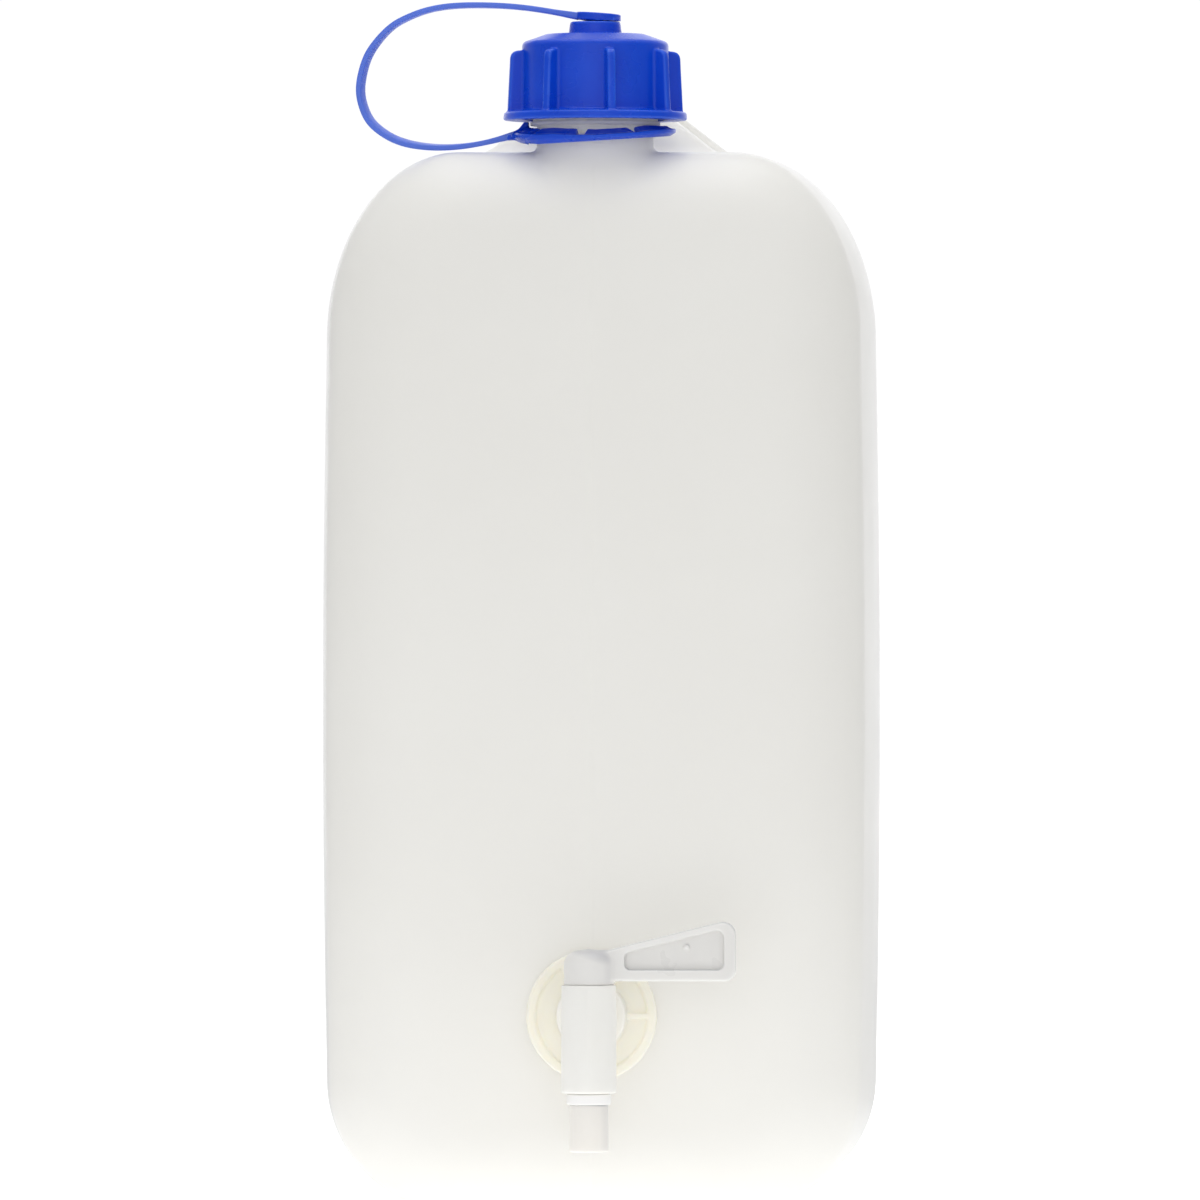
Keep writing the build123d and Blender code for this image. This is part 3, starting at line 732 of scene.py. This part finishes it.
# ------------------------------------------------------------------ tap
BARREL_BOTTOM, BARREL_TOP = 48.4, 89.8
BARREL_RADIUS, BARREL_BORE = 10.62, 8.5
TUBE_RADIUS, TUBE_BORE = 9.3, 6.0
SHANK_THREAD = {"pitch": 2.4, "root_width": 1.3, "crest_width": 0.5}
ORING_HEIGHTS = {"tap_key_oring_lower": 66.0, "tap_key_oring_upper": 85.6}
# lever: x, z, corner radius
LEVER_OUTLINE = [(-1.0, 91.3, 0), (56.3, 91.3, 4.0), (56.3, 115.4, 5.0), (3.2, 102.1, 4),
                 (-1.0, 101.0, 0)]
# recessed panel on each face of the lever: x, z, corner radius
PANEL_OUTLINE = [(13.7, 95.6, 2.4), (51.9, 95.6, 2.6), (51.9, 111.6, 2.8), (13.7, 102.1, 2.4)]
# hub over the barrel: r, z, corner radius
HUB_SECTION = [(-4, 89.86, 0), (9.7, 89.86, 0.15), (9.5, 102.3, 5.6), (-4, 104.2, 0)]
# plug that turns in the barrel: r, z, corner radius
PLUG_SECTION = [
    (-4, 25.8, 0), (7.6, 25.8, 0.6), (7.45, 43.9, 0.3), (6.6, 43.9, 0.2), (6.6, 47.8, 0.2),
    (7.8, 47.8, 0.3), (8.44, 49.2, 0.3), (8.44, 92.0, 0), (-4, 92.0, 0)]
LEVER_FIELD = PolygonField(fillet(LEVER_OUTLINE, 10), (-8, 64), (84, 122), 0.2)
PANEL_FIELD = PolygonField(fillet(PANEL_OUTLINE), (-8, 64), (84, 122), 0.2)
HUB_FIELD = PolygonField(fillet(HUB_SECTION, 10), (-1, 16), (80, 112), 0.15)
PLUG_FIELD = PolygonField(fillet(PLUG_SECTION, 5), (-1, 16), (20, 98), 0.15)


def tap_body_field(x, y, z):
    radial = np.hypot(x, y - TAP_Y)              # from the barrel axis
    outlet = np.hypot(x, z - OUTLET_Z)           # from the outlet axis
    barrel_radius = BARREL_RADIUS - 0.004 * (z - BARREL_BOTTOM)
    dist = intersect(radial - barrel_radius, between(z, BARREL_BOTTOM, BARREL_TOP), 0.5)
    tube = np.maximum(outlet - TUBE_RADIUS, between(y, TAP_Y, -104.0))
    dist = unite(dist, tube, 2.2)
    flange = intersect(outlet - 13.2, np.abs(y + 106.9) - 1.5, 0.5)
    dist = unite(dist, flange, 0.8)
    shank = intersect(outlet - 9.2, between(y, -106.0, -93.6), 0.5)
    thread = helix(outlet, np.arctan2(x, z - OUTLET_Z), y, start=-103.0, turns=3.4,
                   root=9.0, crest=10.4, **SHANK_THREAD)
    dist = np.minimum(dist, np.minimum(shank, thread))
    # faint mould rib down the front of the barrel
    front = (y < TAP_Y) & (z > BARREL_BOTTOM + 2) & (z < BARREL_TOP - 2)
    dist = dist - 0.12 * np.exp(-(x / 0.35) ** 2) * front
    dist = cut(dist, radial - BARREL_BORE, 0.35)
    dist = np.maximum(dist, -np.maximum(outlet - TUBE_BORE, TAP_Y - y))
    # stop standing up at the back of the rim
    angle = np.arctan2(y - TAP_Y, x)
    sides = np.abs(angle - math.pi / 2) * radial - 1.45
    stop = intersect(between(radial, 9.05, 10.1),
                     np.maximum(sides, between(z, 88.0, 92.6)), 0.2)
    return np.minimum(dist, stop)


def build_tap_body():
    body = net_object("tap_body_visual", tap_body_field, grid(-14.2, 14.2, 0.5),
                      grid(TAP_LOW[1] - 0.8, TAP_HIGH[1] + 0.8, 0.5),
                      grid(TAP_LOW[2] - 0.8, TAP_HIGH[2] + 1.2, 0.5))
    return register(body, "tap_body", "root")


def tap_key_field(x, y, z):
    y = y - TAP_Y
    radial = np.hypot(x, y)
    plug = PLUG_FIELD(radial, z)
    for groove_z in ORING_HEIGHTS.values():
        plug = cut(plug, np.maximum(6.58 - radial, np.abs(z - groove_z) - 1.1), 0.15)
    lever = extrude(LEVER_FIELD(x, z), y, 3.8, 0.9)
    lever = cut(lever, np.maximum(PANEL_FIELD(x, z), 1.8 - np.abs(y)), 0.45)
    # round pip in the front panel
    pip = np.maximum(np.hypot(x - 37.6, z - 104.3) - 1.1, between(y, -2.4, 0))
    lever = unite(lever, pip, 0.3)
    handle = unite(HUB_FIELD(radial, z), lever, 1.6)
    dist = unite(plug, handle, 0.3)
    # waterway up the plug, and the port in its left side
    waterway = 5.0
    dist = cut(dist, np.maximum(radial - waterway, z - 82.5), 0.3)
    dist = np.maximum(dist, -np.maximum(np.hypot(y, z - OUTLET_Z) - waterway, x))
    # pocket under the hub, in which the stop travels
    degrees = np.degrees(np.arctan2(y, x)) % 360
    sweep = between(degrees, 80.2, 189.8) * radial * math.pi / 180
    pocket = np.maximum(np.maximum(8.5 - radial, between(z, 89.4, 93.1)), sweep)
    return cut(dist, pocket, 0.2)


def build_tap_key():
    key = net_object("tap_key_visual", tap_key_field, grid(-11.2, 57.4, 0.5),
                     grid(TAP_Y - 11.2, TAP_Y + 11.2, 0.45), grid(24.8, 116.2, 0.5))
    return register(key, "tap_key", "tap_key")


def build_oring(node, z):
    ring_radius, cord_radius = 7.5, 0.92
    section = [(ring_radius + cord_radius * math.cos(k * math.pi / 6),
                z + cord_radius * math.sin(k * math.pi / 6)) for k in range(12)]
    oring = lathe(node + "_visual", section, TAP_Y, 64)
    return register(oring, node, "tap_key")


def build_snap_ring():
    section = ring_section(6.62, 8.5, 44.0, 48.1, (0.2, 0.6, 0.5, 0.2), 5)
    snap = lathe("tap_snap_ring", section, TAP_Y, 80)
    return register(snap, "tap_retaining_ring", "tap_key")


# ------------------------------------------------------------------ outlet boss and washer
# boss, turned about the outlet axis: r, y, corner radius
BOSS_SECTION = [
    (10.7, -104.0, 0.3), (13.5, -104.0, 0.5), (13.6, -102.4, 0.5), (21.2, -102.2, 0.6),
    (21.9, -103.4, 0.9), (24.7, -103.4, 0.8), (25.2, -102.4, 0.4), (25.2, -100.0, 0.0),
    (13.9, -100.0, 0.0), (13.9, -93.4, 0.5), (10.7, -93.4, 0.3)]
BOSS_FIELD = PolygonField(fillet(BOSS_SECTION, 6), (5, 30), (-110, -88), 0.12)


def boss_field(x, y, z):
    up = z - OUTLET_Z
    radial = np.hypot(x, up)
    # three flat spokes on the front
    spoke = fold(np.arctan2(up, x), 0.0, 3)
    out, across = radial * np.cos(spoke), radial * np.sin(spoke)
    rib = intersect(np.maximum(np.abs(across) - 0.95, np.abs(out - 17.5) - 4.4),
                    between(y, -103.2, -101.0), 0.45)
    dist = unite(BOSS_FIELD(radial, y), rib, 0.5)
    bore = radial < 11.6
    thread = helix(radial[bore], np.arctan2(x, up)[bore], y[bore], start=-101.8, turns=3.0,
                   root=10.9, crest=9.5, **SHANK_THREAD)
    dist[bore] = np.minimum(dist[bore], thread)
    return dist


def build_boss():
    boss = net_object("outlet_boss_visual", boss_field, grid(-26, 26, 0.55),
                      grid(-104.6, -92.8, 0.4), grid(OUTLET_Z - 26, OUTLET_Z + 26, 0.55))
    return register(boss, "outlet_boss", "root")


def build_washer():
    """Turned upright, then laid along the outlet axis."""
    thickness = WASHER_HIGH[1] - WASHER_LOW[1]
    section = ring_section(10.6, 12.9, 0, thickness, [0.3] * 4, 4)
    washer = lathe("shank_washer_visual", section, 0.0, 64)
    washer.data.transform(Matrix.Rotation(math.radians(-90), 4, "X"))
    washer.data.transform(Matrix.Translation((0, WASHER_LOW[1] * MM, OUTLET_Z * MM)))
    return register(washer, "tap_shank_washer", "root")


# ------------------------------------------------------------------ shader helpers
MIX_A, MIX_B, MIX_RESULT = 6, 7, 2            # colour sockets of the Mix node


def add_node(tree, kind, inputs=None, **settings):
    """A shader node; inputs maps sockets to plain values or to the sockets that feed them."""
    node = tree.nodes.new("ShaderNode" + kind)
    for key, value in settings.items():
        setattr(node, key, value)
    for key, value in (inputs or {}).items():
        if isinstance(value, bpy.types.NodeSocket):
            tree.links.new(value, node.inputs[key])
        else:
            node.inputs[key].default_value = value
    return node


def math_node(tree, operation, *values):
    return add_node(tree, "Math", dict(enumerate(values)), operation=operation).outputs[0]


def new_material(name):
    """Empty material with its node tree and output."""
    material = bpy.data.materials.new(name)
    material.use_nodes = True
    tree = material.node_tree
    tree.nodes.clear()
    return material, tree, tree.nodes.new("ShaderNodeOutputMaterial")


def noise(tree, vector, scale, detail=2.0, roughness=0.5, distortion=0.0):
    return add_node(tree, "TexNoise", {
        "Scale": scale, "Detail": detail, "Roughness": roughness,
        "Distortion": distortion, "Vector": vector}).outputs["Fac"]


def colour_ramp(tree, factor, dark, light):
    node = add_node(tree, "ValToRGB", {0: factor})
    stops = node.color_ramp.elements
    for stop, position, colour in zip(stops, (0.35, 0.65), (dark, light)):
        stop.position = position
        stop.color = (*colour, 1)
    return node.outputs[0]


def remap(tree, value, to, source=(0.3, 0.7), **settings):
    """Carries the source range over to another."""
    return add_node(tree, "MapRange", {
        "From Min": source[0], "From Max": source[1],
        "To Min": to[0], "To Max": to[1], "Value": value}, **settings).outputs["Result"]


def bump(tree, height, strength, distance, normal=None):
    inputs = {"Strength": strength, "Distance": distance, "Height": height}
    if normal is not None:
        inputs["Normal"] = normal
    return add_node(tree, "Bump", inputs).outputs["Normal"]


def tint(tree, colour, other, factor):
    """Mixes a fixed colour in by a factor socket."""
    return add_node(tree, "Mix", {"Factor": factor, MIX_A: colour, MIX_B: (*other, 1)},
                    data_type="RGBA").outputs[MIX_RESULT]


def scuff_marks(tree, coords):
    """Thin scuff marks: noise squeezed along z, thresholded."""
    squeezed = add_node(tree, "Mapping", {"Scale": (1.0, 1.0, 7.0), "Vector": coords})
    streaks = noise(tree, squeezed.outputs["Vector"], scale=210, detail=3.0, roughness=0.6,
                    distortion=0.4)
    return remap(tree, streaks, to=(0.0, 1.0), source=(0.60, 0.72))


# ------------------------------------------------------------------ materials
def moulded(name, dark, light, rough, spec=0.4, scatter=0.0, scatter_radius=(1, 1, 1),
            scatter_scale=0.002, through=0.0, grain=1400, grain_depth=0.00003,
            painted_edge_highlight=None, low=None, low_span=None, painted_upper_shade=None):
    """Injection moulded plastic: mottled colour, uneven gloss, orange peel, fine scuffs.

    through is the share of translucent light. The optional extra colours are a painted highlight on
    sharp edges, a colour below the heights of low_span (metres), and painted shade on faces turned
    up and to the right."""
    material, tree, output = new_material(name)
    coords = add_node(tree, "TexCoord").outputs["Object"]
    mottle = noise(tree, coords, scale=28, detail=4, roughness=0.55)
    colour = colour_ramp(tree, mottle, dark, light)
    if low:
        height = add_node(tree, "SeparateXYZ", {0: coords}).outputs["Z"]
        colour = tint(tree, colour, low, remap(tree, height, to=(1.0, 0.0), source=low_span))
    if painted_upper_shade or painted_edge_highlight:
        geometry = add_node(tree, "NewGeometry")
    # painted shade: a darker colour on faces turned up and to the right
    if painted_upper_shade:
        facing = add_node(tree, "VectorMath", {0: geometry.outputs["Normal"],
                                               1: (0.5, 0.0, 0.86)}, operation="DOT_PRODUCT")
        colour = tint(tree, colour, painted_upper_shade, remap(tree, facing.outputs["Value"],
                                                 to=(0.0, 0.85), source=(0.30, 0.85)))
    # painted highlight: a lighter colour mixed onto sharp convex edges
    if painted_edge_highlight:
        colour = tint(tree, colour, painted_edge_highlight, remap(tree, geometry.outputs["Pointiness"],
                                                to=(0.0, 0.75), source=(0.515, 0.60)))
    scuffs = scuff_marks(tree, coords)
    normal = bump(tree, noise(tree, coords, scale=60), strength=0.35, distance=0.00008)
    normal = bump(tree, noise(tree, coords, scale=grain), strength=0.25,
                  distance=grain_depth, normal=normal)
    normal = bump(tree, scuffs, strength=0.05, distance=0.00001, normal=normal)
    gloss = remap(tree, noise(tree, coords, scale=45, detail=3, roughness=0.6), to=rough)
    inputs = {"Base Color": colour, "Normal": normal, "IOR": 1.5, "Specular IOR Level": spec,
              "Roughness": math_node(tree, "MULTIPLY_ADD", scuffs, 0.02, gloss)}
    if scatter > 0:
        inputs.update({"Subsurface Weight": scatter, "Subsurface Radius": scatter_radius,
                       "Subsurface Scale": scatter_scale})
    surface = add_node(tree, "BsdfPrincipled", inputs).outputs[0]
    if through > 0:
        translucent = add_node(tree, "BsdfTranslucent", {"Color": colour}).outputs[0]
        surface = add_node(tree, "MixShader", {0: through, 1: surface,
                                               2: translucent}).outputs[0]
    tree.links.new(surface, output.inputs["Surface"])
    return material


def shell_material():
    """Blow-moulded natural polyethylene: thin, satin, uneven, letting light through."""
    material, tree, output = new_material("natural_polyethylene")
    coords = add_node(tree, "TexCoord").outputs["Object"]
    colour = colour_ramp(tree, noise(tree, coords, scale=9, detail=4, roughness=0.55),
                         dark=(0.974, 0.970, 0.955), light=(0.983, 0.980, 0.966))
    waves = bump(tree, noise(tree, coords, scale=14), strength=0.5, distance=0.0012)
    normal = bump(tree, noise(tree, coords, scale=900), strength=0.10, distance=0.0001,
                  normal=waves)
    diffuse, translucent = (add_node(tree, kind, {"Color": colour, "Normal": normal}).outputs[0]
                            for kind in ("BsdfDiffuse", "BsdfTranslucent"))
    share = remap(tree, noise(tree, coords, scale=6, detail=3), to=(0.43, 0.47))
    plastic = add_node(tree, "MixShader", {0: share, 1: diffuse, 2: translucent}).outputs[0]
    roughness = remap(tree, noise(tree, coords, scale=30, detail=3, roughness=0.6),
                      to=(0.34, 0.42))
    gloss = add_node(tree, "BsdfGlossy", {"Roughness": roughness, "Normal": normal}).outputs[0]
    # sheen on front faces only
    fresnel = add_node(tree, "Fresnel", {"IOR": 1.40}).outputs[0]
    backfacing = add_node(tree, "NewGeometry").outputs["Backfacing"]
    sheen = math_node(tree, "MULTIPLY", fresnel, math_node(tree, "SUBTRACT", 1.0, backfacing))
    surface = add_node(tree, "MixShader", {0: sheen, 1: plastic, 2: gloss}).outputs[0]
    tree.links.new(surface, output.inputs["Surface"])
    return material


def floor_material():
    """Pale floor that glows round the object, a little more to the camera."""
    glow_near, glow_far, glow_radius, camera_extra = 0.58, 0.0, 0.6, 0.45
    material, tree, output = new_material("pale_floor")
    place = add_node(tree, "NewGeometry").outputs["Position"]
    distance = add_node(tree, "VectorMath", {0: place}, operation="LENGTH").outputs["Value"]
    glow = remap(tree, distance, to=(glow_near, glow_far), source=(0.0, glow_radius),
                 interpolation_type="SMOOTHSTEP")
    colour = colour_ramp(tree, noise(tree, place, scale=3.0),
                         dark=(0.88, 0.88, 0.88), light=(0.92, 0.92, 0.92))
    diffuse = add_node(tree, "BsdfDiffuse", {"Color": colour}).outputs[0]
    camera_ray = add_node(tree, "LightPath").outputs["Is Camera Ray"]
    strength = math_node(tree, "MULTIPLY_ADD", camera_ray, camera_extra, glow)
    emission = add_node(tree, "Emission", {"Color": (1, 1, 1, 1), "Strength": strength})
    surface = add_node(tree, "AddShader", {0: diffuse, 1: emission.outputs[0]}).outputs[0]
    tree.links.new(surface, output.inputs["Surface"])
    return material


# ------------------------------------------------------------------ stage, light, camera
# lobes of the light tent: axis, side, power (higher is narrower), strength
TENT_AMBIENT = 0.800
TENT_TOP = ("Z", 1.0, 2.0, 0.0)
TENT_SIDES = [("X", 1.0, 4.0, -0.646), ("X", -1.0, 4.0, -0.544),
              ("Y", 1.0, 3.0, -0.188), ("Y", -1.0, 3.0, -0.144)]
BACKDROP = 1.02                               # what the camera sees behind the floor
# area lights: name, place, aim, width, height (metres), watts
SOFTBOXES = [
    ("top_box", (0.0, -0.1, 1.9), (0, 0, 0.3), 1.6, 1.6, 10.9),
    ("front_box", (0.0, -3.4, 1.1), (0, 0, 0.2), 2.6, 1.6, 7.0),
    ("back_box", (0.0, 2.4, 0.9), (0, 0, 0.25), 3.0, 1.8, 13.7)]


def build_floor():
    half, z = 60, -0.0002
    mesh = bpy.data.meshes.new("floor")
    mesh.from_pydata([(-half, -half, z), (half, -half, z), (half, half, z), (-half, half, z)],
                     [], [(0, 1, 2, 3)])
    floor = bpy.data.objects.new("floor", mesh)
    bpy.context.scene.collection.objects.link(floor)
    mesh.materials.append(floor_material())


def build_world():
    """Light tent of an even dome plus lobes, behind a white backdrop for the camera."""
    world = bpy.data.worlds.new("studio")
    bpy.context.scene.world = world
    world.use_nodes = True
    tree = world.node_tree
    direction = add_node(tree, "TexCoord").outputs["Generated"]
    axes = add_node(tree, "SeparateXYZ", {0: direction}).outputs

    def lobe(axis, side, power, strength):
        facing = math_node(tree, "MAXIMUM", math_node(tree, "MULTIPLY", axes[axis], side), 0.0)
        return math_node(tree, "MULTIPLY", math_node(tree, "POWER", facing, power), strength)

    total = math_node(tree, "ADD", lobe(*TENT_TOP), TENT_AMBIENT)
    for row in TENT_SIDES:
        total = math_node(tree, "ADD", total, lobe(*row))
    tent = tree.nodes["Background"]
    tent.inputs[0].default_value = (1, 1, 1, 1)
    tree.links.new(total, tent.inputs[1])
    backdrop = add_node(tree, "Background", {0: (1, 1, 1, 1), 1: BACKDROP}).outputs[0]
    camera_ray = add_node(tree, "LightPath").outputs["Is Camera Ray"]
    mix = add_node(tree, "MixShader", {0: camera_ray, 1: tent.outputs[0], 2: backdrop})
    tree.links.new(mix.outputs[0], tree.nodes["World Output"].inputs["Surface"])


def softbox(name, place, aim, width, height, watts):
    light = bpy.data.lights.new(name, "AREA")
    light.shape = "RECTANGLE"
    light.size = width
    light.size_y = height
    light.energy = watts
    obj = bpy.data.objects.new(name, light)
    bpy.context.scene.collection.objects.link(obj)
    obj.location = place
    obj.rotation_mode = "QUATERNION"
    obj.rotation_quaternion = (Vector(aim) - Vector(place)).to_track_quat("-Z", "Y")


def build_camera():
    """Level camera in front, turned a little to the right."""
    azimuth, distance = math.radians(2.37), 5.5
    target = Vector((-0.00097, 0.0, 0.2372))
    framed_width, framed_depth = 0.4644, 0.069    # width that fills the frame, this near side
    sensor = 36
    data = bpy.data.cameras.new("camera")
    camera = bpy.data.objects.new("camera", data)
    bpy.context.scene.collection.objects.link(camera)
    bpy.context.scene.camera = camera
    back = Vector((math.sin(azimuth), -math.cos(azimuth), 0.0))
    camera.location = target + back * distance
    camera.rotation_mode = "QUATERNION"
    camera.rotation_quaternion = (-back).to_track_quat("-Z", "Y")
    data.sensor_width = sensor
    data.lens = sensor * (distance - framed_depth) / framed_width
    data.clip_start = 0.1
    data.clip_end = 200


def set_render():
    scene = bpy.context.scene
    scene.view_settings.view_transform = "Standard"
    scene.view_settings.look = "None"
    scene.cycles.use_denoising = True
    scene.cycles.max_bounces = 16
    scene.cycles.diffuse_bounces = 10
    scene.cycles.transmission_bounces = 10
    scene.cycles.glossy_bounces = 4


# ------------------------------------------------------------------ assembly
shell = build_shell()
cap = build_cap()
gasket = build_gasket()
ring = build_ring()
strap = build_strap()
eyelet = build_eyelet()
tap_body = build_tap_body()
tap_key = build_tap_key()
orings = [build_oring(node, z) for node, z in ORING_HEIGHTS.items()]
snap = build_snap_ring()
boss = build_boss()
washer = build_washer()
for piece in (shell, cap, gasket, ring, eyelet, tap_body, tap_key, snap, boss, washer, *orings):
    face_outwards(piece)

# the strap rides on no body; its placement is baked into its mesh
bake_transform(strap)

# the blue plastic gets a painted highlight on its sharp edges
blue_pe = moulded(
    "blue_polyethylene", dark=(0.001, 0.055, 0.60), light=(0.003, 0.069, 0.68),
    rough=(0.24, 0.34), spec=0.30, scatter=0.12, scatter_radius=(0.2, 0.5, 1.0),
    scatter_scale=0.0012, painted_edge_highlight=(0.055, 0.20, 0.88))
strap_pe = moulded(
    "strap_polyethylene", dark=(0.140, 0.265, 0.84), light=(0.165, 0.295, 0.89),
    rough=(0.28, 0.38), spec=0.5, through=0.35)
tap_pe = moulded(
    "tap_polyethylene", dark=(0.965, 0.932, 0.862), light=(0.975, 0.948, 0.885),
    rough=(0.30, 0.42), scatter=0.8, scatter_scale=0.003)
# the tap key gets painted shade on faces turned up and to the right
key_pe = moulded(
    "tap_key_polyethylene", dark=(0.792, 0.785, 0.768), light=(0.802, 0.795, 0.778),
    rough=(0.26, 0.38), spec=0.5, scatter=0.7, scatter_scale=0.0025,
    low=(0.850, 0.828, 0.792), low_span=(0.046, 0.056), painted_upper_shade=(0.57, 0.57, 0.59))
boss_pe = moulded(
    "boss_polyethylene", dark=(0.912, 0.884, 0.790), light=(0.932, 0.906, 0.822),
    rough=(0.34, 0.46), scatter=0.6, scatter_radius=(1.0, 0.9, 0.7), scatter_scale=0.003)
white_pe = moulded(
    "white_polyethylene", dark=(0.955, 0.955, 0.95), light=(0.97, 0.97, 0.965),
    rough=(0.34, 0.44), scatter=0.4)
foam = moulded(
    "foam_gasket", dark=(0.66, 0.66, 0.64), light=(0.76, 0.76, 0.74),
    rough=(0.7, 0.85), spec=0.2, grain=2200, grain_depth=0.00012)
rubber = moulded(
    "seal_rubber", dark=(0.55, 0.55, 0.51), light=(0.62, 0.62, 0.58),
    rough=(0.55, 0.7), spec=0.3, grain=1800, grain_depth=0.00006)
for material, pieces in (
        (shell_material(), [shell]), (blue_pe, [cap, ring, eyelet]), (strap_pe, [strap]),
        (tap_pe, [tap_body]), (key_pe, [tap_key]), (boss_pe, [boss]), (white_pe, [snap]),
        (foam, [gasket]), (rubber, [washer, *orings])):
    for piece in pieces:
        piece.data.materials.clear()
        piece.data.materials.append(material)

build_floor()
build_world()
for row in SOFTBOXES:
    softbox(*row)
build_camera()
set_render()
